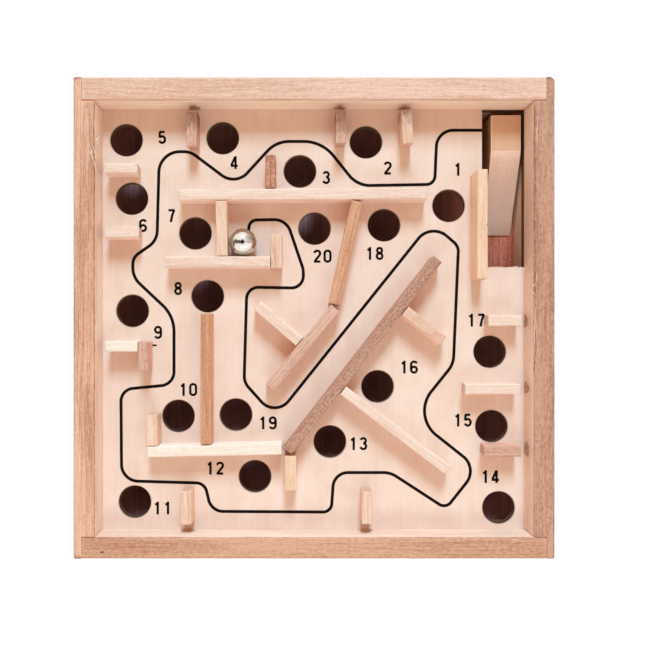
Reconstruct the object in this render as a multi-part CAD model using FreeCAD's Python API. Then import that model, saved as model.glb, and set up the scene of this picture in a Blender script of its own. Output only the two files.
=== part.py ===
import FreeCAD, Part
import math
import os

# Hand-held wooden tilt maze: a square box of four lapped rails, a drilled playing board,
# a lower deck that catches the ball, a ramp that brings it back, glued wall strips and a ball.
# Millimetres. +X right, +Y away from the player, +Z up; origin at the centre of the underside.

# ---------------------------------------------------------------- driving dimensions
OUTER = 136.0          # outside of the square box
HEIGHT = 25.4          # rails are one-inch stock on edge
RAIL_T = 6.1           # side rails
FRONT_RAIL_T = 6.2
BACK_RAIL_T = 6.7      # cut from slightly thicker stock
LAP_SKIN = 2.4         # wood left on a side rail outside the lapped end of a cross rail
RAIL_EASE = 0.45       # sanded arris along the rails
CORNER_NICK = 1.3      # knocked-off corner at the back right

DECK_DROP = 9.1        # rim to playing surface
BOARD_T = 3.0
FLOOR_DROP = 21.4      # rim to the lower deck's floor
PANEL_T = 3.0
GROOVE_DEPTH = 2.2
TONGUE = 2.0           # how far board and panel reach into the grooves

HOLE_D = 9.5
HOLE_EASE = 0.2
BALL_D = 8.0

STRIP_H = 7.0          # height of the maze walls
GUARD_H = 8.7          # the wall beside the return opening is a little taller
STRIP_EASE = 0.22
PARED_CLEAR = 0.1      # the long diagonal's pared corner, beside the front post
PARED_RISE = 0.4
PARED_REACH = 5.0
PARED_SLOPE = 0.8
UNDERCUT = 0.6         # free ends of the stubs along the rails are sawn a few degrees off square

WINDOW_LEFT = 49.5     # return opening in the board, at the back right corner
WINDOW_FRONT = 15.0

RAMP_W = 8.85
RAMP_SIDE_GAP = 0.9    # ramp to right rail
RAMP_BACK_GAP = 1.5    # ramp to back rail
RAMP_FLAT = 11.0       # level top, flush with the playing surface
RAMP_TOE_Y = 25.7
RAMP_TOE_H = 0.4
RAMP_CREST_R = 9.0

BALL_X = -20.4
BALL_Y = 21.85
BALL_LIFT = 0.05       # running clearance under the ball

OVERSHOOT = 1.0        # how far a cutting block runs past what it cuts

# ---------------------------------------------------------------- derived levels and faces
HALF = OUTER / 2
DECK_Z = HEIGHT - DECK_DROP
FLOOR_Z = HEIGHT - FLOOR_DROP
SIDE_FACE = HALF - RAIL_T            # inner faces of the rails
FRONT_FACE = -(HALF - FRONT_RAIL_T)
BACK_FACE = HALF - BACK_RAIL_T
LAP_X = HALF - LAP_SKIN              # where a cross rail ends inside the lap

# Ball holes by their printed numbers: centre x, y.
HOLES = {
    1: (39.7, 33.1),
    2: (15.4, 51.8),
    3: (-4.0, 43.2),
    4: (-26.7, 53.0),
    5: (-55.0, 52.4),
    6: (-53.4, 35.2),
    7: (-34.7, 25.0),
    8: (-31.1, 6.5),
    9: (-53.2, 2.2),
    10: (-39.7, -28.7),
    11: (-52.5, -53.9),
    12: (-17.2, -46.4),
    13: (4.8, -36.2),
    14: (54.4, -55.6),
    15: (52.3, -31.7),
    16: (18.8, -20.0),
    17: (51.8, -9.8),
    18: (20.7, 27.4),
    19: (-22.8, -28.3),
    20: (0.3, 26.4),
}

# Wall strips: start x, y, end x, y of the centre line, and thickness.
STRIPS = {
    "wall_start_left": (-34.8, 59.2, -34.8, 48.8, 2.9),
    "wall_start_middle": (7.7, 59.4, 7.7, 49.7, 2.9),
    "wall_start_right": (26.3, 59.4, 26.9, 49.6, 3.1),
    "wall_hole_3": (-12.4, 46.6, -12.4, 37.0, 3.0),
    "wall_long_back": (-38.7, 35.15, 32.4, 35.5, 3.2),
    "wall_left_back": (-59.9, 42.8, -50.2, 42.8, 2.9),
    "wall_left_middle": (-59.9, 24.5, -49.8, 24.5, 3.2),
    "wall_left_front": (-59.6, -8.1, -50.2, -8.1, 3.1),
    "wall_left_post": (-48.7, -6.8, -48.7, -15.1, 2.8),
    "wall_finish_left": (-26.5, 33.5, -26.2, 17.7, 3.2),
    "wall_finish_front": (-42.4, 16.05, -12.4, 16.05, 3.1),
    "wall_finish_right": (-10.7, 23.9, -10.7, 14.1, 3.2),
    "wall_slant_back": (12.3, 33.35, 5.8, 3.9, 3.2),
    "wall_slant_front": (6.1, 2.9, -12.6, -20.0, 3.2),
    "wall_slant_branch": (-16.2, 3.7, -4.05, -6.75, 3.2),
    "wall_diagonal": (35.3, 16.9, -7.5, -38.05, 3.1),
    "wall_diagonal_stub": (25.95, 2.05, 36.9, -6.5, 3.2),
    "wall_diagonal_branch": (8.25, -20.65, 38.2, -43.4, 2.9),
    "wall_left_upright": (-30.8, 1.3, -30.8, -36.1, 3.0),
    "wall_front_long": (-47.6, -38.2, -9.1, -37.4, 3.1),
    "wall_front_stub": (-46.2, -27.5, -46.2, -36.5, 3.1),
    "wall_front_post": (-6.7, -39.3, -6.7, -49.3, 3.3),
    "wall_edge_left": (-36.5, -49.3, -36.5, -59.0, 3.1),
    "wall_edge_right": (15.2, -49.4, 15.2, -58.8, 3.0),
    "wall_right_back": (49.6, -0.7, 59.4, -0.7, 3.2),
    "wall_right_middle": (43.0, -20.3, 58.9, -20.3, 3.0),
    "wall_right_front": (48.4, -38.0, 59.0, -38.0, 3.1),
    "wall_return_guard": (47.65, 42.1, 47.65, 11.0, 3.0),
}

# Strips with an undercut free end: which end of the centre line it is.
UNDERCUT_ENDS = {
    "wall_start_left": "end",
    "wall_start_middle": "end",
    "wall_start_right": "end",
    "wall_left_back": "end",
    "wall_left_middle": "end",
    "wall_right_back": "start",
    "wall_right_middle": "start",
    "wall_right_front": "start",
}


def vec(x, y, z):
    return FreeCAD.Vector(x, y, z)


def block(x0, y0, z0, x1, y1, z1):
    return Part.makeBox(x1 - x0, y1 - y0, z1 - z0, vec(x0, y0, z0))


def prism(points, direction):
    """A closed outline of points pushed along a direction."""
    wire = Part.makePolygon(points + [points[0]])
    return Part.Face(wire).extrude(direction)


def top_edges(shape, z):
    """Edges that lie wholly at height z."""
    return [edge for edge in shape.Edges if all(abs(v.Z - z) < 1e-6 for v in edge.Vertexes)]


def long_edges(shape, axis, length):
    """Straight edges along an axis, at least the given length."""
    found = []
    for edge in shape.Edges:
        ends = [v.Point for v in edge.Vertexes]
        if len(ends) == 2 and abs((ends[1] - ends[0]).dot(axis)) > length:
            found.append(edge)
    return found


# ---------------------------------------------------------------- the box
def rail_grooves(x0, y0, x1, y1):
    """The two grooves of a rail: one for the playing board, one for the bottom panel."""
    board_groove = block(x0, y0, DECK_Z - BOARD_T, x1, y1, DECK_Z)
    panel_groove = block(x0, y0, FLOOR_Z - PANEL_T, x1, y1, FLOOR_Z)
    return board_groove.fuse(panel_groove)


def eased_rail(rail, axis, corners):
    """Sand the long outer arrises, then the vertical corners that show."""
    outer = [e for e in long_edges(rail, axis, OUTER * 0.9)
             if abs(e.CenterOfMass.z) < 1e-6 or abs(e.CenterOfMass.z - HEIGHT) < 1e-6]
    return rail.makeChamfer(RAIL_EASE, outer + corners)


def side_rail(side):
    """Left (-1) or right (+1) rail, full depth, rebated at both ends for the cross rails."""
    inner = side * SIDE_FACE
    outer = side * HALF
    rail = block(min(inner, outer), -HALF, 0, max(inner, outer), HALF, HEIGHT)
    corners = [e for e in long_edges(rail, vec(0, 0, 1), HEIGHT * 0.9)
               if abs(e.CenterOfMass.x - outer) < 1e-6]
    rail = eased_rail(rail, vec(0, 1, 0), corners)
    x0, x1 = sorted((side * (SIDE_FACE - OVERSHOOT), side * LAP_X))
    for y0, y1 in ((-HALF - OVERSHOOT, FRONT_FACE), (BACK_FACE, HALF + OVERSHOOT)):
        rail = rail.cut(block(x0, y0, -OVERSHOOT, x1, y1, HEIGHT + OVERSHOOT))
    deep = inner + side * GROOVE_DEPTH
    groove = rail_grooves(min(inner, deep), FRONT_FACE, max(inner, deep), BACK_FACE)
    return rail.cut(groove)


def cross_rail(end):
    """Front (-1) or back (+1) rail, its ends held in the laps of the side rails."""
    inner = BACK_FACE if end > 0 else FRONT_FACE
    outer = end * HALF
    rail = block(-LAP_X, min(inner, outer), 0, LAP_X, max(inner, outer), HEIGHT)
    rail = eased_rail(rail, vec(1, 0, 0), [])
    deep = inner + end * GROOVE_DEPTH
    return rail.cut(rail_grooves(-LAP_X, min(inner, deep), LAP_X, max(inner, deep)))


def right_rail():
    """The right rail has lost a small wedge at its back top corner, equal along all three edges."""
    past = HALF + OVERSHOOT
    short = HALF - CORNER_NICK - 2 * OVERSHOOT
    nick = prism(
        [
            vec(past, past, HEIGHT - CORNER_NICK - 2 * OVERSHOOT),
            vec(short, past, HEIGHT + OVERSHOOT),
            vec(past, short, HEIGHT + OVERSHOOT),
        ],
        vec(OVERSHOOT, OVERSHOOT, OVERSHOOT) * 3,
    )
    return side_rail(1).cut(nick)


# ---------------------------------------------------------------- decks
def plate(z_top, thickness):
    """A flat panel whose edges reach into the rails' grooves."""
    return block(-SIDE_FACE - TONGUE, FRONT_FACE - TONGUE, z_top - thickness,
                 SIDE_FACE + TONGUE, BACK_FACE + TONGUE, z_top)


def playing_board():
    board = plate(DECK_Z, BOARD_T)
    window = block(WINDOW_LEFT, WINDOW_FRONT, 0, SIDE_FACE, BACK_FACE, HEIGHT)
    drills = []
    for x, y in HOLES.values():
        drills.append(Part.makeCylinder(HOLE_D / 2, HEIGHT, vec(x, y, 0)))
        countersink = Part.makeCone(HOLE_D / 2, HOLE_D / 2 + HOLE_EASE, HOLE_EASE,
                                    vec(x, y, DECK_Z - HOLE_EASE))
        drills.append(countersink)
    return board.cut([window] + drills)


def return_ramp():
    """A solid block: level top at the playing surface, then one slope down to the floor."""
    right = SIDE_FACE - RAMP_SIDE_GAP
    back = BACK_FACE - RAMP_BACK_GAP
    crest = back - RAMP_FLAT
    x = right - RAMP_W
    ramp = prism(
        [
            vec(x, back, FLOOR_Z),
            vec(x, back, DECK_Z),
            vec(x, crest, DECK_Z),
            vec(x, RAMP_TOE_Y, FLOOR_Z + RAMP_TOE_H),
            vec(x, RAMP_TOE_Y, FLOOR_Z),
        ],
        vec(RAMP_W, 0, 0),
    )
    crest_edge = [e for e in ramp.Edges
                  if all(abs(v.Y - crest) < 1e-6 and abs(v.Z - DECK_Z) < 1e-6 for v in e.Vertexes)]
    return ramp.makeFillet(RAMP_CREST_R, crest_edge)


# ---------------------------------------------------------------- maze walls
def strip(x0, y0, x1, y1, thickness, height, undercut_end=None):
    """A strip of wood standing on the board, with its top arrises eased."""
    length = math.hypot(x1 - x0, y1 - y0)
    start = UNDERCUT if undercut_end == "start" else 0
    end = length - (UNDERCUT if undercut_end == "end" else 0)
    half = thickness / 2
    wall = prism(
        [
            vec(start, -half, 0),
            vec(end, -half, 0),
            vec(length, -half, height),
            vec(0, -half, height),
        ],
        vec(0, thickness, 0),
    )
    wall = wall.makeChamfer(STRIP_EASE, top_edges(wall, height))
    wall.rotate(vec(0, 0, 0), vec(0, 0, 1), math.degrees(math.atan2(y1 - y0, x1 - x0)))
    wall.translate(vec(x0, y0, DECK_Z))
    return wall


def maze_wall(name):
    height = GUARD_H if name == "wall_return_guard" else STRIP_H
    return strip(*STRIPS[name], height, UNDERCUT_ENDS.get(name))


def diagonal_wall():
    """The long diagonal; the corner nearest the front post is pared off to clear it."""
    wall = maze_wall("wall_diagonal")
    post_top = STRIPS["wall_front_post"][1]
    tip_x = STRIPS["wall_front_post"][0] - PARED_CLEAR
    pared = prism(
        [
            vec(tip_x, post_top + PARED_RISE, 0),
            vec(tip_x + PARED_REACH, post_top + PARED_RISE + PARED_SLOPE * PARED_REACH, 0),
            vec(tip_x + PARED_REACH, post_top - PARED_REACH, 0),
            vec(tip_x, post_top - PARED_REACH, 0),
        ],
        vec(0, 0, HEIGHT),
    )
    return wall.cut(pared)


# ---------------------------------------------------------------- ball
def steel_ball():
    return Part.makeSphere(BALL_D / 2, vec(BALL_X, BALL_Y, DECK_Z + BALL_LIFT + BALL_D / 2))


def build():
    parts = {
        "left_rail": side_rail(-1),
        "right_rail": right_rail(),
        "front_rail": cross_rail(-1),
        "back_rail": cross_rail(1),
        "playing_board": playing_board(),
        "bottom_panel": plate(FLOOR_Z, PANEL_T),
        "return_ramp": return_ramp(),
        "steel_ball": steel_ball(),
    }
    for name in STRIPS:
        parts[name] = diagonal_wall() if name == "wall_diagonal" else maze_wall(name)
    return parts


os.makedirs("parts", exist_ok=True)
for node, shape in build().items():
    shape.exportStep(f"parts/{node}.step")
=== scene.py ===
import math
import random

import bmesh
import bpy
from mathutils import Matrix, Vector, noise


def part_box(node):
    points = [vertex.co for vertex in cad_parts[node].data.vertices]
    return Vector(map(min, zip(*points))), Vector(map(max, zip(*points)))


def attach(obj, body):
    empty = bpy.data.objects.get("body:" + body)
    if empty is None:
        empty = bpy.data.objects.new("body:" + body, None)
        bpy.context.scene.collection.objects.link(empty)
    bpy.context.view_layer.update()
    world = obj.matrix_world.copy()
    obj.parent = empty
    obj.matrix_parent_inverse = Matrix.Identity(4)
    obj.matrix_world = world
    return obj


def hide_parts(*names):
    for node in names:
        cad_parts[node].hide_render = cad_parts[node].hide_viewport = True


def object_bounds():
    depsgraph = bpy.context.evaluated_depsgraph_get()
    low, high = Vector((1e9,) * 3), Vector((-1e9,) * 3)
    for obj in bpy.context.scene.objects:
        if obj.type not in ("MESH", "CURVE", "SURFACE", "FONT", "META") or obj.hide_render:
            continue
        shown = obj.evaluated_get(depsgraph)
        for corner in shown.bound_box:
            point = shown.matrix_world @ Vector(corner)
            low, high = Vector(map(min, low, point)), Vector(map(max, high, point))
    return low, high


# The looks of a hand-held wooden tilt maze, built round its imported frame.
# Metres, row frame: +X right, +Y away from the player, +Z up. Small sizes are given in MM.

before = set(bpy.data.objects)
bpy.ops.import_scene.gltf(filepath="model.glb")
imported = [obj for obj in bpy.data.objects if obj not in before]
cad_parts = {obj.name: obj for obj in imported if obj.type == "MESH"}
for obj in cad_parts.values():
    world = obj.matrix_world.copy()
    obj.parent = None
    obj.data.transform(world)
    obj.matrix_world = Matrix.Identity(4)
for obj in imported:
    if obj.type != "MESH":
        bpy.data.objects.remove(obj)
CAD_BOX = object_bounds()
MM = 0.001

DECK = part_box("playing_board")[1].z
BOARD_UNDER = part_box("playing_board")[0].z
RIM = CAD_BOX[1].z


# ---------------------------------------------------------------- camera, floor and light
def camera():
    """Straight above the box, a little left of and nearer than its centre."""
    data = bpy.data.cameras.new("camera")
    data.lens = 42.18
    data.sensor_width = 36
    data.shift_x = 0.0329
    data.shift_y = 0.0132
    data.clip_start = 0.01
    seen = bpy.data.objects.new("camera", data)
    seen.location = (-3.6 * MM, -3.7 * MM, RIM + 213 * MM)
    bpy.context.scene.collection.objects.link(seen)
    bpy.context.scene.camera = seen


def soft_box(name, width, height, energy, colour, place):
    """A rectangular light aimed at the middle of the board."""
    data = bpy.data.lights.new(name, "AREA")
    data.shape = "RECTANGLE"
    data.size = width
    data.size_y = height
    data.energy = energy
    data.color = colour
    lamp = bpy.data.objects.new(name, data)
    lamp.location = place
    lamp.rotation_euler = (Vector((0, 0, DECK)) - Vector(place)).to_track_quat("-Z", "Y").to_euler()
    bpy.context.scene.collection.objects.link(lamp)


def lights():
    """A tall, bluish window behind the maze throws the walls' shadows towards the player.
    A small soft box above the player lifts the near half."""
    soft_box("key_light", 0.30, 0.54, 26.5, (0.45, 0.77, 0.95), (0.06, 1.13, DECK + 1.06))
    soft_box("near_light", 0.26, 0.08, 0.24, (0.62, 0.84, 0.95), (0.03, -0.18, DECK + 0.20))


def studio():
    """The white room: warm light from above, shaded straight overhead, and white at eye level. Glossy rays
    don't see this room. They see white sheets in its place, parted by a dark, ragged band."""
    world = bpy.data.worlds.new("studio")
    bpy.context.scene.world = world
    world.use_nodes = True
    s = Nodes(world.node_tree)
    direction = s.node("TexCoord").outputs["Generated"]
    parts = s.node("SeparateXYZ")
    s.feed(parts.inputs[0], direction)
    high = s.remap(parts.outputs["Z"], 0.30, 0.55)
    glow = s.mix(high, (1.0, 1.0, 1.0, 1), (0.79, 0.54, 0.30, 1))
    reach = s.node("VectorMath", operation="LENGTH")
    s.feed(reach.inputs[0], s.scaled(direction, (1.0, 1.0, 0.0)))
    glow = s.mix(s.remap(reach.outputs["Value"], 0.26, 0.44), (0.10, 0.08, 0.07, 1), glow)

    ragged = s.remap(s.noise(direction, (5.0, 4.0, 3.0), 3.0), 0.3, 0.7, -0.20, 0.20)
    leaning = s.math("ABSOLUTE", s.math("ADD", parts.outputs["Y"], ragged))
    leaning = s.math("ADD", leaning, s.remap(parts.outputs["X"], -0.8, 0.5, -0.10, 0.12))
    sheets = s.mix(s.remap(leaning, 0.06, 0.26), (0.22, 0.19, 0.18, 1), (1.70, 1.62, 1.55, 1))
    spot = s.node("VectorMath", operation="LENGTH")
    s.feed(spot.inputs[0], s.scaled(direction, (1.0, 0.7, 0.0)))
    sheets = s.mix(s.remap(spot.outputs["Value"], 0.16, 0.30), (0.02, 0.015, 0.015, 1), sheets)
    rightward = s.remap(parts.outputs["X"], 0.20, 1.0)
    corner = s.math("MULTIPLY", rightward, s.remap(parts.outputs["Y"], -0.3, 0.5))
    sheets = s.mix(corner, sheets, (0.30, 0.26, 0.19, 1))
    mirrored = s.node("LightPath").outputs["Is Glossy Ray"]
    s.feed(world.node_tree.nodes["Background"].inputs["Color"], s.mix(mirrored, glow, sheets))


def floor():
    """A plain white table top under the box. It glows, so that the box's own shadow doesn't show on it."""
    mesh = bpy.data.meshes.new("floor")
    reach = 1.5
    below = -0.1 * MM
    corners = [(-reach, -reach, below), (reach, -reach, below), (reach, reach, below), (-reach, reach, below)]
    mesh.from_pydata(corners, [], [(0, 1, 2, 3)])
    top = bpy.data.objects.new("floor", mesh)
    bpy.context.scene.collection.objects.link(top)
    paint = Shader("floor_white")
    paint.principled.inputs["Base Color"].default_value = (0.08, 0.08, 0.08, 1)
    paint.principled.inputs["Roughness"].default_value = 0.8
    paint.principled.inputs["Specular IOR Level"].default_value = 0.1
    paint.principled.inputs["Emission Color"].default_value = (1, 1, 1, 1)
    paint.principled.inputs["Emission Strength"].default_value = 0.96
    mesh.materials.append(paint.material)


# ---------------------------------------------------------------- shading helpers
def srgb(red, green, blue):
    """Screen values from 0 to 255, as the linear colour that a shader takes."""
    def linear(value):
        share = value / 255
        return share / 12.92 if share <= 0.04045 else ((share + 0.055) / 1.055) ** 2.4
    return (linear(red), linear(green), linear(blue), 1.0)


def times(colour, factor):
    """A colour made darker or lighter."""
    return tuple(min(1.0, c * factor) for c in colour[:3]) + (1.0,)


class Nodes:
    """Short calls for the nodes that a pattern needs, in one node tree."""

    def __init__(self, tree):
        self.tree = tree

    def feed(self, socket, value):
        if isinstance(value, bpy.types.NodeSocket):
            self.tree.links.new(value, socket)
        else:
            socket.default_value = value

    def node(self, kind, **settings):
        made = self.tree.nodes.new("ShaderNode" + kind)
        for key, value in settings.items():
            setattr(made, key, value)
        return made

    def math(self, operation, first, second=0.0):
        made = self.node("Math", operation=operation)
        self.feed(made.inputs[0], first)
        self.feed(made.inputs[1], second)
        return made.outputs[0]

    def scaled(self, vector, factors):
        made = self.node("VectorMath", operation="MULTIPLY")
        self.feed(made.inputs[0], vector)
        made.inputs[1].default_value = factors
        return made.outputs[0]

    def noise(self, vector, factors, detail=2.0, roughness=0.5):
        made = self.node("TexNoise")
        self.feed(made.inputs["Vector"], self.scaled(vector, factors))
        made.inputs["Scale"].default_value = 1.0
        made.inputs["Detail"].default_value = detail
        made.inputs["Roughness"].default_value = roughness
        return made.outputs["Fac"]

    def swing(self, pattern, strength):
        """A pattern's departure from its middle, times a strength."""
        return self.math("MULTIPLY", self.math("SUBTRACT", pattern, 0.5), strength)

    def millimetres(self):
        """Where the shaded point is in its object, in millimetres."""
        return self.scaled(self.node("TexCoord").outputs["Object"], (1 / MM, 1 / MM, 1 / MM))

    def remap(self, value, low, high, out_low=0.0, out_high=1.0):
        made = self.node("MapRange")
        self.feed(made.inputs["Value"], value)
        made.inputs["From Min"].default_value = low
        made.inputs["From Max"].default_value = high
        made.inputs["To Min"].default_value = out_low
        made.inputs["To Max"].default_value = out_high
        return made.outputs[0]

    def mix(self, share, first, second, blend="MIX"):
        made = self.node("Mix", data_type="RGBA", blend_type=blend)
        self.feed(made.inputs[0], share)
        self.feed(made.inputs[6], first)
        self.feed(made.inputs[7], second)
        return made.outputs[2]

    def attribute(self, name, output):
        made = self.node("Attribute", attribute_name=name)
        return made.outputs[output]

    def bump(self, height, distance, strength=1.0):
        made = self.node("Bump")
        self.feed(made.inputs["Height"], height)
        made.inputs["Distance"].default_value = distance
        made.inputs["Strength"].default_value = strength
        return made.outputs[0]


class Shader(Nodes):
    """A material of one Principled surface, and the nodes that feed it."""

    def __init__(self, name):
        self.material = bpy.data.materials.new(name)
        self.material.use_nodes = True
        super().__init__(self.material.node_tree)
        self.principled = self.tree.nodes["Principled BSDF"]


# ---------------------------------------------------------------- wood
# The brown that paints the back rail's shadow onto the strips that end near that rail.
PAINTED_SHADOW_BROWN = srgb(134, 78, 52)
# How far a sawn end leans from the pale tone to the deep one.
END_TONE = 0.25


def wood(name, pale, deep, streak=1.0, rings=0.35, pores=0.5, speckle=0.2,
         fleck=0.0, grit=1.0, rubbing=(0.1, 0.5, 1.12), painted_light=None, painted_shadow=None):
    """Solid wood whose grain runs along the piece. It reads five things from the mesh: grain, millimetres
    along and across the piece; cut, 1 on a sawn end; arris, 1 on a rubbed edge, down to -1 where painted
    shade darkens the box's outer faces and edges; painted_light, 1 on faces painted paler as painted light,
    which take the painted_light pair of tones; groove, 1 at the bottom of a saw mark, darkened there as
    painted shade.
    A painted_shadow is a stretch along Y, in millimetres, over which the back rail's painted shadow browns
    the wood, from its first value to its second. Rubbing is the least and most that a rubbed edge pales, and
    how pale it gets."""
    s = Shader(name)
    grain = s.attribute("grain", "Vector")
    cut = s.attribute("cut", "Fac")
    arris = s.attribute("arris", "Fac")

    drift = s.noise(grain, (0.02, 0.16, 0.16), 2.0)
    wander = s.noise(grain, (0.018, 0.10, 0.10), 2.0)
    parts = s.node("SeparateXYZ")
    s.feed(parts.inputs[0], grain)
    across = s.math("ADD", parts.outputs["Y"], s.math("MULTIPLY", parts.outputs["Z"], 0.45))
    winding = s.math("ADD", across, s.math("MULTIPLY", wander, 14.0))
    ring = s.math("FRACT", s.math("MULTIPLY", winding, 0.62))
    late = s.math("POWER", ring, 3.0)
    fibre = s.noise(grain, (0.07, 2.6, 2.6), 5.0, 0.62)
    fine = s.noise(grain, (0.30, 8.0, 8.0), 2.0, 0.6)
    dots = s.noise(grain, (1.5 * grit, 2.2 * grit, 2.2 * grit), 3.0, 0.7)
    pore = s.remap(s.noise(grain, (0.9, 5.0, 5.0), 1.0), 0.60, 0.70)

    tone = s.swing(fibre, 1.9 * streak)
    tone = s.math("ADD", tone, s.swing(fine, 1.2 * streak))
    tone = s.math("ADD", tone, s.swing(drift, 1.8 * streak))
    tone = s.math("ADD", tone, s.swing(dots, 2.0 * speckle))
    tone = s.math("ADD", tone, s.math("MULTIPLY", late, rings))
    tone = s.math("ADD", tone, 0.42 - 0.25 * rings)
    face = s.mix(s.remap(tone, 0.0, 1.0), pale, deep)
    dark = times(deep, 0.42)
    face = s.mix(s.math("MULTIPLY", pore, pores), face, dark)
    if fleck:
        bright = s.remap(s.noise(grain, (1.1, 3.2, 3.2), 2.0), 0.60, 0.72)
        face = s.mix(s.math("MULTIPLY", bright, fleck), face, times(pale, 1.25))

    vessels = s.remap(s.noise(grain, (1.0, 5.5, 5.5), 2.0, 0.7), 0.42, 0.62)
    sawn = s.mix(vessels, s.mix(END_TONE, pale, deep), times(deep, 0.85))
    # Painted light: faces marked painted_light take a paler pair of tones.
    if painted_light:
        face = s.mix(s.attribute("painted_light", "Fac"), face, s.mix(s.remap(tone, 0.0, 1.0), *painted_light))
    body = s.mix(cut, face, sawn)
    # Painted shadow: the back rail's shadow, painted as a brown that deepens towards that rail.
    if painted_shadow:
        place = s.node("SeparateXYZ")
        s.feed(place.inputs[0], s.node("TexCoord").outputs["Object"])
        blotch = s.swing(s.noise(grain, (0.5, 0.9, 0.9), 3.0), 9.0 * MM)
        along = s.remap(s.math("ADD", place.outputs["Y"], blotch), painted_shadow[0] * MM, painted_shadow[1] * MM, 0.0, 0.95)
        body = s.mix(along, body, PAINTED_SHADOW_BROWN)
    # Painted shade: the bottom of each saw mark is darkened.
    body = s.mix(s.math("MULTIPLY", s.attribute("groove", "Fac"), 0.22), body, times(deep, 0.62))
    least, most, lift = rubbing
    patchy = s.remap(s.noise(grain, (0.35, 1.2, 1.2), 2.0), 0.35, 0.65, least, most)
    body = s.mix(s.math("MULTIPLY", s.math("MAXIMUM", arris, 0.0), patchy), body, times(pale, lift))
    # Painted shade: negative arris values darken the box's outer faces and edges.
    body = s.mix(s.remap(arris, 0.0, -1.0, 0.0, 0.8), body, times(deep, 0.55))
    s.feed(s.principled.inputs["Base Color"], body)

    s.feed(s.principled.inputs["Roughness"], s.remap(fibre, 0.3, 0.7, 0.54, 0.74))
    s.principled.inputs["Specular IOR Level"].default_value = 0.35
    relief = s.math("SUBTRACT", s.math("MULTIPLY", fine, 0.6), s.math("MULTIPLY", pore, 0.7))
    relief = s.math("ADD", relief, s.math("MULTIPLY", fibre, 0.6))
    s.feed(s.principled.inputs["Normal"], s.bump(relief, 0.06 * MM, 0.7))
    return s.material


# Where the lower floor's painted-light tones change, right of the first X and beyond the first Y, round the
# return opening.
PANEL_FADE_X = (46 * MM, 49 * MM)
PANEL_FADE_Y = (11 * MM, 14 * MM)


def plywood(name, pale, deep, core, back, top, bottom, contrast=1.0, specks=0.0, sheen=0.35, painted_light_tones=None):
    """Thin plywood lying flat: face veneer with its grain along Y, a back of its own tone, and plies on every
    cut edge, painted dark as painted shade. With a painted_light_tones pair, the upper face takes it
    everywhere but under the return opening: painted light for the light under the board."""
    s = Shader(name)
    place = s.node("TexCoord").outputs["Object"]
    mm = s.millimetres()
    drift = s.noise(mm, (0.09, 0.012, 0.1), 2.0)
    fibre = s.noise(mm, (1.5, 0.045, 1.0), 5.0, 0.62)
    fine = s.noise(mm, (6.0, 0.35, 2.0), 2.0)
    fleck = s.remap(s.noise(mm, (3.2, 0.55, 1.0), 2.0), 0.62, 0.74)
    tone = s.swing(fibre, 1.6 * contrast)
    tone = s.math("ADD", tone, s.swing(drift, 1.4 * contrast))
    tone = s.math("ADD", tone, s.swing(fine, 0.8 * contrast))
    tone = s.math("ADD", tone, s.math("MULTIPLY", fleck, 0.22 * contrast))
    mottle = s.noise(mm, (0.16, 0.11, 0.1), 4.0, 0.6)
    tone = s.math("ADD", tone, s.swing(mottle, 0.9))
    share = s.remap(tone, -0.5, 0.5)
    face = s.mix(share, pale, deep)
    if specks:
        glint = s.remap(s.noise(mm, (2.4, 1.5, 1.0), 3.0, 0.7), 0.58, 0.72)
        face = s.mix(s.math("MULTIPLY", glint, specks), face, srgb(255, 226, 205))

    parts = s.node("SeparateXYZ")
    s.feed(parts.inputs[0], place)
    upright = s.node("SeparateXYZ")
    s.feed(upright.inputs[0], s.node("TexCoord").outputs["Normal"])
    # Painted light: under the board the panel takes other tones than in the opening, for the different light
    # there.
    if painted_light_tones:
        beside = s.remap(parts.outputs["X"], *PANEL_FADE_X)
        behind = s.remap(parts.outputs["Y"], *PANEL_FADE_Y)
        upward = s.remap(upright.outputs["Z"], 0.0, 0.5)
        opened = s.math("MULTIPLY", s.math("MULTIPLY", beside, behind), upward)
        face = s.mix(opened, s.mix(share, *painted_light_tones), face)
    level = s.remap(parts.outputs["Z"], bottom, top)
    inner = s.math("LESS_THAN", s.math("ABSOLUTE", s.math("SUBTRACT", level, 0.5)), 0.24)
    # Painted shade: the plies on every cut edge, the hole walls among them, are painted dark.
    ply_grain = s.noise(mm, (1.8, 1.8, 9.0), 3.0, 0.6)
    outer_ply = s.mix(ply_grain, times(core, 0.45), times(core, 0.3))
    inner_ply = s.mix(ply_grain, times(core, 0.3), times(core, 0.18))
    edge = s.mix(inner, outer_ply, inner_ply)
    flat = s.remap(s.math("ABSOLUTE", upright.outputs["Z"]), 0.55, 0.8)
    face = s.mix(s.remap(upright.outputs["Z"], -0.8, -0.55, 0.75, 0.0), face, back)
    s.feed(s.principled.inputs["Base Color"], s.mix(flat, edge, face))
    s.feed(s.principled.inputs["Roughness"], s.remap(fibre, 0.3, 0.7, 0.55, 0.72))
    s.principled.inputs["Specular IOR Level"].default_value = sheen
    relief = s.math("ADD", s.math("MULTIPLY", fine, 0.5), s.math("MULTIPLY", fibre, 0.7))
    s.feed(s.principled.inputs["Normal"], s.bump(relief, 0.04 * MM, 0.6))
    return s.material


def steel():
    """Polished bearing steel, with a few hairline scuffs and finger marks."""
    s = Shader("polished_steel")
    place = s.millimetres()
    smear = s.noise(place, (0.35, 0.35, 0.35), 3.0)
    scuff = s.noise(place, (9.0, 0.7, 2.0), 2.0)
    rough = s.math("ADD", s.remap(smear, 0.4, 0.7, 0.03, 0.10), s.remap(scuff, 0.66, 0.74, 0.0, 0.12))
    s.principled.inputs["Metallic"].default_value = 1.0
    s.feed(s.principled.inputs["Base Color"], s.mix(smear, srgb(204, 198, 191), srgb(184, 177, 170)))
    s.feed(s.principled.inputs["Roughness"], rough)
    s.feed(s.principled.inputs["Normal"], s.bump(scuff, 0.002 * MM, 0.3))
    return s.material


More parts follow.
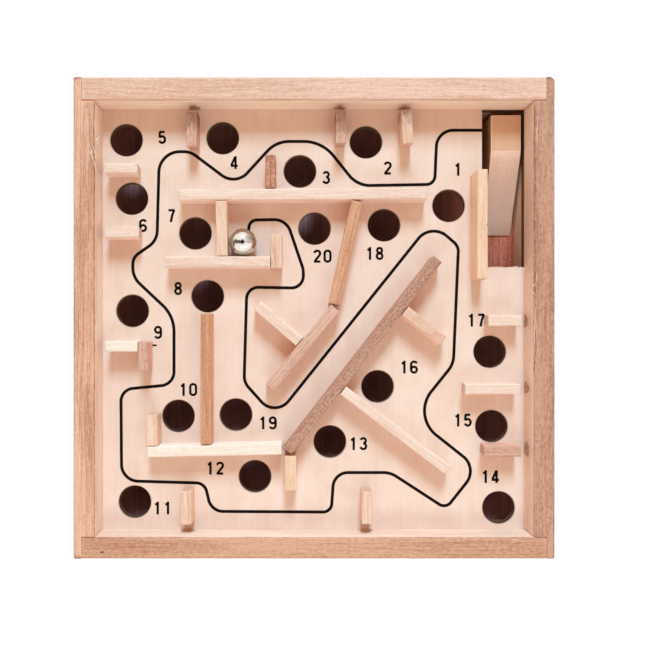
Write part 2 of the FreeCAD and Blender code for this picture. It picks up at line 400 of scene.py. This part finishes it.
def ink():
    """Screen-printed black, slightly uneven where the wood grain drinks it."""
    s = Shader("printing_ink")
    mm = s.millimetres()
    fibre = s.noise(mm, (2.5, 0.15, 1.0), 4.0, 0.6)
    black = s.mix(s.remap(fibre, 0.35, 0.75), srgb(14, 7, 5), srgb(34, 20, 16))
    s.feed(s.principled.inputs["Base Color"], black)
    s.feed(s.principled.inputs["Roughness"], s.remap(fibre, 0.3, 0.7, 0.7, 0.9))
    s.principled.inputs["Specular IOR Level"].default_value = 0.06
    s.feed(s.principled.inputs["Normal"], s.bump(fibre, 0.01 * MM, 0.5))
    return s.material


# ---------------------------------------------------------------- pieces from finished meshes
def linked(name, bm, material):
    """An object in the scene, made from a finished bmesh."""
    mesh = bpy.data.meshes.new(name)
    bm.to_mesh(mesh)
    bm.free()
    mesh.materials.append(material)
    piece = bpy.data.objects.new(name, mesh)
    bpy.context.scene.collection.objects.link(piece)
    return piece


def placed(name, bm, material):
    """One small piece of the box that replaces no node."""
    bmesh.ops.recalc_face_normals(bm, faces=bm.faces)
    piece = linked(name, bm, material)
    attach(piece, "box")


def wrap(bm, rings):
    """Faces round a bar from its rings of four vertices, closed at both ends."""
    for first, second in zip(rings, rings[1:]):
        for i in range(4):
            j = (i + 1) % 4
            bm.faces.new((first[i], first[j], second[j], second[i]))
    bm.faces.new(rings[0][::-1])
    bm.faces.new(rings[-1])


# ---------------------------------------------------------------- worn timber from the frame's shapes
def long_direction(mesh):
    """The angle about Z of the longest way through a mesh, seen from above."""
    xs = [v.co.x for v in mesh.vertices]
    ys = [v.co.y for v in mesh.vertices]
    mx = sum(xs) / len(xs)
    my = sum(ys) / len(ys)
    sxx = sum((x - mx) ** 2 for x in xs)
    syy = sum((y - my) ** 2 for y in ys)
    sxy = sum((x - mx) * (y - my) for x, y in zip(xs, ys))
    return 0.5 * math.atan2(2 * sxy, sxx - syy)


def cut_into_facets(bm, step):
    """Cuts every face along planes a step apart, square to the three axes."""
    for axis in range(3):
        low = min(v.co[axis] for v in bm.verts)
        high = max(v.co[axis] for v in bm.verts)
        count = int((high - low) / step)
        normal = Vector((0, 0, 0))
        normal[axis] = 1
        for i in range(1, count + 1):
            place = Vector((0, 0, 0))
            place[axis] = low + (high - low) * i / (count + 1)
            geometry = bm.verts[:] + bm.edges[:] + bm.faces[:]
            bmesh.ops.bisect_plane(bm, geom=geometry, dist=1e-7, plane_co=place, plane_no=normal)


def is_side(face):
    """An upright face, which the strips paint paler than their tops, as painted light."""
    return abs(face.normal.z) < 0.3


# Below the board, a rail's inner face is painted pale, as painted light, between these distances from the
# rail's middle.
PAINTED_LIGHT_BELOW = (15 * MM, 46 * MM)
# A rail's face looks inward if it faces the box's middle from further off than this.
INNER_REACH = 45 * MM


def faces_board(face):
    """A rail's inner face painted pale as painted light, with X along the rail: above the board, and along
    two stretches below it.
    """
    middle = face.calc_center_median()
    seen = middle.z > DECK or PAINTED_LIGHT_BELOW[0] < abs(middle.x) < PAINTED_LIGHT_BELOW[1]
    return seen and face.normal.dot(middle) < -INNER_REACH


def is_slope(part):
    """A face or vertex of the return ramp's slope."""
    return 0.7 < part.normal.z < 0.985


# The depth of a saw mark, in millimetres.
MARK_DEPTH = 0.03
# How far painted shade darkens the box's outer faces, where 1 is as dark as their edges.
OUTER_PAINTED_SHADE = 0.3


def worn(node, material, step=0.7, wobble=0.02, wear=0.08, arris=0.12, seed=0,
         painted_light_faces=is_side, marks=None):
    """A hand-finished copy of a CAD piece: eased and nicked along its edges, never quite flat.
    It carries the attributes that wood() reads. painted_light_faces says which faces are painted paler, as
    painted light, and marks gives the depth of any further cuts at a vertex."""
    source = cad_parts[node].data
    turn = Matrix.Rotation(-long_direction(source), 3, "Z")
    bm = bmesh.new()
    bm.from_mesh(source)
    bmesh.ops.transform(bm, matrix=turn.to_4x4(), verts=bm.verts)
    bmesh.ops.remove_doubles(bm, verts=bm.verts, dist=1e-6)
    bmesh.ops.dissolve_limit(bm, angle_limit=math.radians(1), verts=bm.verts, edges=bm.edges)
    sharp = [e for e in bm.edges if e.calc_face_angle(0) > math.radians(30)]
    bmesh.ops.bevel(bm, geom=sharp, offset=arris * MM, segments=2, profile=0.5, affect="EDGES",
                    clamp_overlap=True)
    cut_into_facets(bm, step * MM)
    bm.normal_update()

    dice = random.Random(seed)
    offset = Vector((dice.uniform(0, 400), dice.uniform(0, 400), dice.uniform(0, 400)))
    grain_layer = bm.verts.layers.float_vector.new("grain")
    arris_layer = bm.verts.layers.float.new("arris")
    groove_layer = bm.verts.layers.float.new("groove")
    cut_layer = bm.faces.layers.float.new("cut")
    painted_light_layer = bm.faces.layers.float.new("painted_light")
    for face in bm.faces:
        face[cut_layer] = 1.0 if abs(face.normal.x) > 0.7 else 0.0
        # Painted light: the faces that painted_light_faces picks take paler tones.
        face[painted_light_layer] = 1.0 if painted_light_faces(face) else 0.0
        face.smooth = True
    moves = []
    for vert in bm.verts:
        mm = vert.co / MM
        vert[grain_layer] = mm + offset
        on_edge = 1.0 if any(e.calc_face_angle(0) > math.radians(18) for e in vert.link_edges) else 0.0
        # The box's outer faces and edges take negative arris values, which wood() turns into painted shade.
        outer = max(abs(vert.co.x), abs(vert.co.y)) > CAD_BOX[1].x - 0.3 * MM
        vert[arris_layer] = -max(on_edge, OUTER_PAINTED_SHADE) if outer else on_edge
        push = wobble * (noise.noise(mm * 0.22 + offset) - 1)
        push += wobble * 0.5 * (noise.noise(mm * 0.8 + offset) - 1)
        if on_edge:
            nick = noise.noise(Vector((mm.x * 0.5, mm.y * 0.9, mm.z * 0.9)) + offset)
            dent = noise.noise(mm * 1.7 + offset)
            push -= wear * (0.3 * abs(nick) + max(0.0, nick - 0.25) * 1.6 + max(0.0, dent - 0.35))
        if marks:
            groove = marks(vert)
            vert[groove_layer] = groove / MARK_DEPTH
            push -= groove
        moves.append((vert, vert.normal * push * MM))
    for vert, move in moves:
        vert.co += move
    for edge in bm.edges:
        edge.smooth = edge.calc_face_angle(0) < math.radians(38)
    bmesh.ops.transform(bm, matrix=turn.inverted().to_4x4(), verts=bm.verts)
    piece = linked(node + "_wood", bm, material)
    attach(piece, "box")
    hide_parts(node)


CREAM = (srgb(236, 208, 194), srgb(217, 170, 149))
WHITE = (srgb(239, 219, 206), srgb(227, 194, 174))
HONEY = (srgb(235, 195, 168), srgb(214, 160, 128))
TAN = (srgb(232, 194, 172), srgb(204, 150, 124))
PINK = (srgb(216, 170, 150), srgb(182, 128, 106))
ORANGE = (srgb(212, 158, 125), srgb(180, 114, 81))
BROWN = (srgb(190, 142, 120), srgb(148, 94, 74))
SPECKLED = (srgb(202, 142, 113), srgb(148, 84, 60))

# What each wall strip was cut from: its two wood tones, how strong the streaks are, and how speckled.
STRIP_WOODS = {
    "wall_start_left": (PINK, 1.3, 0.5),
    "wall_start_middle": (PINK, 1.2, 0.4),
    "wall_start_right": (TAN, 1.0, 0.3),
    "wall_hole_3": (SPECKLED, 0.2, 2.4),
    "wall_long_back": (CREAM, 0.8, 0.2),
    "wall_left_back": (CREAM, 0.6, 0.2),
    "wall_left_middle": (CREAM, 0.6, 0.2),
    "wall_left_front": (WHITE, 0.5, 0.1),
    "wall_left_post": (PINK, 1.0, 1.2),
    "wall_finish_left": (TAN, 0.8, 0.2),
    "wall_finish_front": (CREAM, 0.7, 0.2),
    "wall_finish_right": (TAN, 1.0, 0.5),
    "wall_slant_back": (ORANGE, 1.2, 0.5),
    "wall_slant_front": (PINK, 0.9, 0.4),
    "wall_slant_branch": (CREAM, 0.8, 0.2),
    "wall_diagonal": (BROWN, 0.7, 2.6),
    "wall_diagonal_stub": (TAN, 1.0, 0.3),
    "wall_diagonal_branch": (CREAM, 0.7, 0.2),
    "wall_left_upright": (ORANGE, 0.9, 0.4),
    "wall_front_long": (WHITE, 0.5, 0.1),
    "wall_front_stub": (TAN, 0.9, 0.5),
    "wall_front_post": (HONEY, 0.8, 0.3),
    "wall_edge_left": (TAN, 1.0, 0.3),
    "wall_edge_right": (TAN, 0.9, 0.3),
    "wall_right_back": (CREAM, 0.7, 0.2),
    "wall_right_middle": (CREAM, 0.8, 0.2),
    "wall_right_front": (PINK, 0.8, 0.6),
    "wall_return_guard": (HONEY, 0.7, 0.2),
}

# How much paler a strip's sides are painted than its top, as painted light.
PAINTED_SIDE_LIGHT = 1.3
# The strips that take the back rail's painted shadow, browning towards that rail, and between which Y, in
# millimetres.
PAINTED_RAIL_SHADOWS = {
    "wall_start_left": (52.0, 57.0),
    "wall_start_middle": (51.0, 58.0),
    "wall_start_right": (54.0, 60.0),
}


def strips():
    for seed, (node, (tones, streak, speckle)) in enumerate(STRIP_WOODS.items(), start=20):
        dark = tones in (PINK, ORANGE, BROWN, SPECKLED)
        painted_side_tones = tuple(times(tone, PAINTED_SIDE_LIGHT) for tone in tones)
        material = wood(node + "_grain", *tones, streak=streak, speckle=speckle, pores=0.45 if dark else 0.25,
                        painted_light=painted_side_tones, painted_shadow=PAINTED_RAIL_SHADOWS.get(node))
        worn(node, material, seed=seed)


# Paler tones painted on each rail's inner faces, as painted light.
PAINTED_LIGHT_LEFT = (srgb(250, 223, 206), srgb(236, 196, 172))
PAINTED_LIGHT_BACK = (srgb(252, 227, 209), srgb(240, 201, 175))
PAINTED_LIGHT_RIGHT = (srgb(246, 220, 203), srgb(232, 192, 168))
PAINTED_LIGHT_FRONT = (srgb(244, 214, 196), srgb(228, 186, 164))
# What each rail was cut from: two wood tones, its inner tones painted paler as painted light, streaks,
# speckle and slot.
RAIL_WOODS = {
    "left_rail": (srgb(222, 169, 141), srgb(178, 119, 91), PAINTED_LIGHT_LEFT, 1.3, 0.45, "rail_left_wood"),
    "right_rail": (srgb(194, 143, 119), srgb(148, 97, 75), PAINTED_LIGHT_RIGHT, 0.9, 1.1, "rail_right_wood"),
    "front_rail": (srgb(208, 154, 126), srgb(166, 108, 80), PAINTED_LIGHT_FRONT, 0.9, 0.9, "rail_front_wood"),
    "back_rail": (srgb(227, 183, 163), srgb(196, 143, 118), PAINTED_LIGHT_BACK, 0.9, 0.6, "rail_back_wood"),
}


def rails():
    for seed, (node, (pale, deep, painted_light, streak, speckle, slot)) in enumerate(RAIL_WOODS.items(), start=1):
        material = wood(node + "_grain", pale, deep, streak=streak, rings=0.3, pores=0.15, speckle=speckle,
                        fleck=0.7, grit=0.6, painted_light=painted_light)
        worn(node, material, step=1.3, wobble=0.03, wear=0.08, arris=0.12, seed=seed,
             painted_light_faces=faces_board)


def ramp():
    """The return ramp: its top is smooth, and its slope keeps the slanting marks of the saw. Its slope takes
    a paler pair of tones as painted light, and its rubbed edges pale strongly: wear and a painted highlight.
    """
    turn = Matrix.Rotation(long_direction(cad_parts["return_ramp"].data), 3, "Z")

    def saw_marks(vert):
        if not is_slope(vert):
            return 0.0
        place = turn @ vert.co / MM
        across = (place.y - place.x) / math.sqrt(2)
        lift = 0.5 + 0.5 * math.sin(2 * math.pi * (across + 0.25 * noise.noise(place * 0.3)) / 1.05)
        return MARK_DEPTH * lift * (0.5 + 0.9 * abs(noise.noise(place * 0.6)))

    # Painted light: the slope's paler pair. Rubbing: wear plus a painted highlight along the edges.
    material = wood("return_ramp_grain", srgb(229, 183, 150), srgb(206, 155, 122), streak=0.35, rings=0.1,
                    pores=0.1, rubbing=(0.6, 0.9, 1.6), painted_light=(srgb(252, 210, 190), srgb(230, 180, 158)))
    worn("return_ramp", material, step=0.3, wobble=0.03, wear=0.08, arris=0.25, seed=12,
         painted_light_faces=is_slope, marks=saw_marks)


def decks():
    # The board's dark back is painted shade under the board, which darkens the holes.
    board = plywood("playing_board_ply", srgb(239, 211, 198), srgb(218, 178, 158), srgb(176, 128, 96),
                    srgb(104, 92, 88), DECK, BOARD_UNDER, contrast=0.25)
    panel_low, panel_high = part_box("bottom_panel")
    # The panel's second pair of tones, under the board, is painted light.
    panel = plywood("bottom_panel_ply", srgb(222, 124, 98), srgb(154, 72, 54), srgb(150, 100, 76),
                    srgb(172, 120, 92), panel_high.z, panel_low.z, contrast=1.3, specks=0.7, sheen=0.02,
                    painted_light_tones=(srgb(194, 142, 146), srgb(156, 106, 108)))
    for node, material in (("playing_board", board), ("bottom_panel", panel)):
        mesh_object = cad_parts[node]
        for held in mesh_object.material_slots:
            held.material = material


# ---------------------------------------------------------------- ball
def ball():
    low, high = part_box("steel_ball")
    bm = bmesh.new()
    bmesh.ops.create_icosphere(bm, subdivisions=5, radius=(high.x - low.x) / 2)
    bmesh.ops.translate(bm, verts=bm.verts, vec=(low + high) / 2)
    for face in bm.faces:
        face.smooth = True
    piece = linked("polished_ball", bm, steel())
    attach(piece, "ball")
    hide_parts("steel_ball")


# ---------------------------------------------------------------- printing on the board
INK_THICK = 0.03 * MM
TRACK_WIDTH = 0.9
NUMBER_HEIGHT = 3.75
NUMBER_STROKE = 0.70
NUMBER_PITCH = 3.03

# The printed track from the return opening to the finish: corner x, y and the radius that rounds it.
TRACK = [
    (49.5, 55.3, 0), (36.3, 55.3, 5.0), (35.6, 39.4, 2.6), (12.9, 39.0, 7.9), (2.5, 52.0, 11.2),
    (-11.0, 52.0, 8.8), (-22.9, 39.0, 5.6), (-36.2, 49.0, 5.9), (-45.3, 49.0, 6.2), (-46.0, 22.9, 5.6),
    (-53.1, 17.9, 3.8), (-53.1, 12.1, 6.5), (-41.0, 0.7, 10.6), (-41.0, -19.4, 4.1), (-56.6, -20.9, 3.8),
    (-56.4, -47.7, 5.0), (-32.0, -48.4, 3.2), (-30.0, -56.7, 4.4), (5.2, -56.9, 2.6), (6.0, -45.3, 4.4),
    (22.6, -45.3, 7.1), (38.9, -55.9, 2.6), (48.3, -44.0, 5.5), (28.9, -28.6, 9.1), (41.1, -13.4, 7.3),
    (42.6, 21.2, 3.5), (34.6, 28.2, 5.8), (-11.2, -29.1, 5.2), (-20.4, -18.8, 5.0), (-19.6, 9.2, 3.5),
    (-3.0, 8.9, 3.5), (-3.0, 14.4, 5.9), (-8.0, 29.1, 5.0), (-18.9, 28.9, 2.4), (-19.1, 25.1, 0),
]

# Where each number is printed: its middle, x, y.
NUMBERS = {
    1: (42.3, 43.8), 2: (21.8, 44.2), 3: (3.7, 41.4), 4: (-23.3, 45.8), 5: (-44.5, 53.2),
    6: (-50.1, 27.3), 7: (-41.7, 30.2), 8: (-39.8, 8.8), 9: (-45.7, -4.1), 10: (-36.9, -20.9),
    11: (-44.5, -55.7), 12: (-29.0, -44.0), 13: (13.1, -36.8), 14: (51.9, -46.5), 15: (43.8, -29.9),
    16: (28.0, -14.3), 17: (47.8, -0.5), 18: (17.9, 19.1), 19: (-13.5, -30.7), 20: (2.6, 18.3),
}
# A short stray stroke of the print, below the 9.
DASH = ((-47.5, -7.9), (-46.1, -7.9))
DASH_WIDTH = 0.5


def rounded(corners, step=0.25):
    """The points of a path that runs straight between corners and turns each with its radius."""
    points = [Vector(corners[0][:2])]
    for before, here, after in zip(corners, corners[1:], corners[2:]):
        corner = Vector(here[:2])
        back = (Vector(before[:2]) - corner).normalized()
        ahead = (Vector(after[:2]) - corner).normalized()
        half = back.angle(ahead) / 2
        middle = corner + (back + ahead).normalized() * here[2] / math.sin(half)
        start = corner + back * here[2] / math.tan(half) - middle
        sweep = start.angle_signed(corner + ahead * here[2] / math.tan(half) - middle)
        count = max(2, int(abs(sweep) * here[2] / step))
        for i in range(count + 1):
            points.append(middle + Matrix.Rotation(-sweep * i / count, 2) @ start)
    points.append(Vector(corners[-1][:2]))
    return points


def bow(x, y, rx, ry, first, last):
    """Points on an ellipse between two angles in degrees."""
    count = max(3, int(abs(last - first) / 12))
    angles = [math.radians(first + (last - first) * i / count) for i in range(count + 1)]
    return [(x + rx * math.cos(a), y + ry * math.sin(a)) for a in angles]


def digit_strokes():
    """Plain narrow numerals, each as its strokes' centre lines, in a cell 1 high with x from 0 to 0.6."""
    side = 0.225
    return {
        "0": [bow(0.3, 0.72, side, 0.205, 0, 180) + bow(0.3, 0.28, side, 0.205, 180, 360) + [(0.525, 0.72)]],
        "1": [[(0.36, 0.0), (0.36, 1.0)], [(0.36, 0.90), (0.27, 0.81), (0.15, 0.77)]],
        "2": [bow(0.3, 0.71, side, 0.215, 170, -35) + [(0.09, 0.08)], [(0.04, 0.075), (0.55, 0.075)]],
        "3": [bow(0.3, 0.735, 0.20, 0.19, 165, -90), bow(0.3, 0.30, 0.22, 0.225, 90, -165)],
        "4": [[(0.40, 0.0), (0.40, 1.0)], [(0.38, 0.96), (0.07, 0.29)], [(0.02, 0.25), (0.58, 0.25)]],
        "5": [[(0.50, 0.925), (0.12, 0.925)], [(0.13, 0.96), (0.10, 0.47)],
              bow(0.3, 0.33, side, 0.255, 140, -160)],
        "6": [bow(0.3, 0.30, side, 0.225, 0, 360),
              bow(0.31, 0.70, 0.235, 0.225, 25, 180) + [(0.075, 0.30)]],
        "7": [[(0.05, 0.925), (0.53, 0.925)], [(0.50, 0.93), (0.34, 0.52), (0.24, 0.0)]],
        "8": [bow(0.3, 0.735, 0.19, 0.19, 0, 360), bow(0.3, 0.29, 0.22, 0.215, 0, 360)],
        "9": [bow(0.3, 0.70, side, 0.225, 0, 360),
              bow(0.29, 0.30, 0.235, 0.225, 205, 360) + [(0.525, 0.70)]],
    }


def ribbon(bm, points, width):
    """A flat printed line along points, in millimetres on the board."""
    path = [Vector(p) for p in points]
    left = []
    right = []
    for i, here in enumerate(path):
        before = path[max(i - 1, 0)]
        after = path[min(i + 1, len(path) - 1)]
        ahead = (after - before).normalized()
        out = Vector((-ahead.y, ahead.x)) * width / 2
        left.append(here + out)
        right.append(here - out)
    rings = []
    for a, b in zip(left, right):
        ring = []
        for point, z in ((a, DECK), (a, DECK + INK_THICK), (b, DECK + INK_THICK), (b, DECK)):
            ring.append(bm.verts.new((point.x * MM, point.y * MM, z)))
        rings.append(ring)
    wrap(bm, rings)


def printed(name, lines, material):
    """One printed piece made of several lines: each is its points and width."""
    bm = bmesh.new()
    for points, width in lines:
        ribbon(bm, points, width)
    placed(name, bm, material)


def number_lines():
    shapes = digit_strokes()
    lines = []
    for number, (x, y) in NUMBERS.items():
        digits = str(number)
        for place, digit in enumerate(digits):
            middle = x + (place - (len(digits) - 1) / 2) * NUMBER_PITCH
            for stroke in shapes[digit]:
                points = [
                    (middle + (px - 0.3) * NUMBER_HEIGHT, y + (py - 0.5) * NUMBER_HEIGHT)
                    for px, py in stroke
                ]
                lines.append((points, NUMBER_STROKE))
    return lines


def printing():
    black = ink()
    printed("printed_track", [(rounded(TRACK), TRACK_WIDTH)], black)
    printed("printed_numbers", number_lines() + [(DASH, DASH_WIDTH)], black)


# ---------------------------------------------------------------- torn grain and painted gap shade
def torn_wood(name, pale, deep):
    s = Shader(name)
    mm = s.millimetres()
    fibre = s.noise(mm, (1.6, 1.6, 1.6), 3.0, 0.6)
    s.feed(s.principled.inputs["Base Color"], s.mix(s.remap(fibre, 0.3, 0.7), pale, deep))
    s.feed(s.principled.inputs["Roughness"], s.remap(fibre, 0.3, 0.7, 0.65, 0.85))
    s.feed(s.principled.inputs["Normal"], s.bump(fibre, 0.03 * MM, 0.6))
    return s.material


def sliver(bm, points, width, thick):
    """A fibre of wood through points, in millimetres: widest in the middle, and drawn out at both ends."""
    path = [Vector(p) for p in points]
    rings = []
    for i, here in enumerate(path):
        ahead = (path[min(i + 1, len(path) - 1)] - path[max(i - 1, 0)]).normalized()
        out = Vector((-ahead.y, ahead.x, 0)).normalized()
        share = 0.25 + 0.75 * math.sin(math.pi * (i + 0.5) / len(path))
        up = Vector((0, 0, thick / 2 * share))
        side = out * width / 2 * share
        rings.append([bm.verts.new((here + offset) * MM) for offset in (side, up, -side, -up)])
    wrap(bm, rings)


def curled(points, dice, wander=0.12):
    """A given line of points, made uneven between them."""
    path = []
    for a, b in zip(points, points[1:]):
        count = max(2, int((Vector(b) - Vector(a)).length / 0.6))
        for i in range(count):
            at = Vector(a).lerp(Vector(b), i / count)
            path.append(at + Vector((dice.uniform(-wander, wander), dice.uniform(-wander, wander), 0)))
    path.append(Vector(points[-1]))
    return path


# Fibres lifted from the rails' inner arrises, x and y, in millimetres.
LEFT_FIBRES = [
    [(-62.0, 56.3), (-61.7, 53.5), (-61.8, 50.1)],
    [(-61.8, 49.7), (-61.1, 50.5), (-60.3, 51.3)],
    [(-61.5, 50.7), (-61.0, 49.9), (-60.8, 48.9)],
    [(-63.4, 49.3), (-62.9, 47.3), (-62.0, 43.7), (-61.2, 40.8)],
    [(-62.7, 48.8), (-61.8, 47.0), (-61.4, 45.0)],
    [(-63.7, 47.2), (-62.8, 46.2), (-62.3, 44.6)],
]
RIGHT_FIBRES = [
    [(62.1, 5.6), (62.3, 0.4), (62.1, -8.8)],
    [(62.5, 9.8), (61.7, 8.6)],
    [(61.5, 7.6), (62.6, 6.2)],
    [(63.2, 56.6), (62.8, 52.4), (63.1, 49.8)],
    [(65.9, 62.6), (66.6, 63.0), (67.3, 63.6)],
    [(56.0, -62.2), (56.6, -62.6), (57.3, -62.6)],
]
# How far below a surface the fibres and cracks are centred, in millimetres.
SKIN = 0.05
# Dark marks, x and y, in millimetres: a crack in the board, a chip in the guard, a knot in the front rail.
BOARD_CRACK = [(15.4, -11.3), (18.0, -8.2), (21.0, -4.3)]
GUARD_CHIP = [(49.15, 26.8), (48.9, 26.3), (48.5, 25.9)]
FRONT_KNOT = [(-60.3, -66.0), (-59.8, -66.1), (-59.2, -65.9)]
# The stretch of the return opening's front edge that is ragged: from x to x, at y.
OPENING_EDGE = (49.6, 61.8, 15.0)

# Dark, broken lines along the side rails' inner arrises: x, wander in x, from y to y, and widest stroke.
RAGGED_LINES = [
    (62.35, 0.5, 59.5, -15.0, 0.22),
    (-61.95, 0.1, 61.0, 38.0, 0.24),
    (-61.9, 0.1, 38.0, -60.5, 0.15),
]


def raised(points, z):
    """Points x, y, all at one height."""
    return [(x, y, z) for x, y in points]


def torn_edges():
    """Fibres standing off the rails, broken dark lines along the side rails, the ragged front edge of the
    return opening, and the dark marks."""
    dice = random.Random(71)
    pale = torn_wood("torn_pale_wood", srgb(238, 204, 180), srgb(212, 168, 140))
    dark = torn_wood("torn_dark_wood", srgb(134, 92, 72), srgb(92, 58, 44))
    rim = RIM / MM - SKIN
    left = bmesh.new()
    for points in LEFT_FIBRES:
        sliver(left, curled(raised(points, rim), dice), 0.24, 0.1)
    placed("left_rail_fibres", left, pale)

    right = bmesh.new()
    cracks = bmesh.new()
    for points in RIGHT_FIBRES:
        sliver(right, curled(raised(points, rim), dice), 0.24, 0.1)
    for middle, wander, y, end, widest in RAGGED_LINES:
        while y > end:
            long = dice.uniform(1.2, 4.5)
            x = middle + wander * noise.noise(Vector((y * 0.2, 3.0, 0)))
            line = [(x, y, rim), (x + dice.uniform(-wander / 2, wander / 2), y - long, rim)]
            sliver(cracks, curled(line, dice, 0.08), dice.uniform(0.1, widest), 0.1)
            if middle > 0 and dice.random() < 0.25:
                beside = [(px + 0.32, py - 0.3, pz) for px, py, pz in line]
                sliver(right, curled(beside, dice, 0.08), dice.uniform(0.12, 0.26), 0.1)
            y -= long * dice.uniform(0.7, 1.3)
    placed("right_rail_fibres", right, pale)

    deck = DECK / MM
    sliver(cracks, curled(raised(BOARD_CRACK, deck), dice, 0.06), 0.24, 0.06)
    guard_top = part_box("wall_return_guard")[1].z / MM - SKIN
    sliver(cracks, raised(GUARD_CHIP, guard_top), 0.2, 0.1)
    sliver(cracks, raised(FRONT_KNOT, rim), 0.6, 0.1)
    placed("hairline_cracks", cracks, dark)

    opening = bmesh.new()
    x, end, front = OPENING_EDGE
    while x < end:
        long = dice.uniform(0.6, 1.8)
        y = front + dice.uniform(-0.12, 0.16)
        line = [(x, y, deck), (min(x + long, end), y + dice.uniform(-0.15, 0.2), deck)]
        sliver(opening, curled(line, dice, 0.06), dice.uniform(0.15, 0.35), 0.12)
        x += long * dice.uniform(0.5, 0.9)
    placed("opening_fibres", opening, pale)


# The strips that end at the back or front rail, and those that end at the right rail, with painted shade in
# the gap behind them.
SHADED_GAPS_ACROSS = (
    "wall_start_left", "wall_start_middle", "wall_start_right", "wall_edge_left", "wall_edge_right",
)
SHADED_GAPS_RIGHT = ("wall_right_back", "wall_right_middle", "wall_right_front")


def glue_smears():
    """Dark lumps on the rails' inner faces, in the gaps behind the strips that end there: painted shade."""
    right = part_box("right_rail")[0].x / MM
    dice = random.Random(83)
    bm = bmesh.new()
    spots = []
    for node in SHADED_GAPS_ACROSS:
        low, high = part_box(node)
        back = low.y > 0
        face = (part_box("back_rail")[0].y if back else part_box("front_rail")[1].y) / MM
        spots.append(((low.x + high.x) / 2 / MM, face, 1.5, 0.07))
    for node in SHADED_GAPS_RIGHT:
        low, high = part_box(node)
        spots.append((right, (low.y + high.y) / 2 / MM, 0.07, 1.6))
    for x, y, wide, deep in spots:
        made = bmesh.ops.create_icosphere(bm, subdivisions=3, radius=1.0)
        tall = dice.uniform(1.6, 2.6)
        centre = Vector((x, y, DECK / MM + tall * 0.7))
        offset = Vector((dice.uniform(0, 90), 0, 0))
        for vert in made["verts"]:
            swell = 1 + 0.9 * noise.noise(vert.co * 1.9 + offset)
            spread = Vector((vert.co.x * wide, vert.co.y * deep, vert.co.z * tall)) * swell
            vert.co = (centre + spread) * MM
            vert.co.z = max(vert.co.z, DECK)
    # Tones close to the rails' shaded inner faces: the lumps are painted shade.
    shade_paint = torn_wood("gap_shade_paint", srgb(210, 164, 138), srgb(166, 120, 96))
    placed("glue_smears", bm, shade_paint)


camera()
studio()
lights()
floor()
rails()
strips()
ramp()
decks()
ball()
printing()
torn_edges()
glue_smears()

bpy.context.scene.view_settings.view_transform = "Standard"
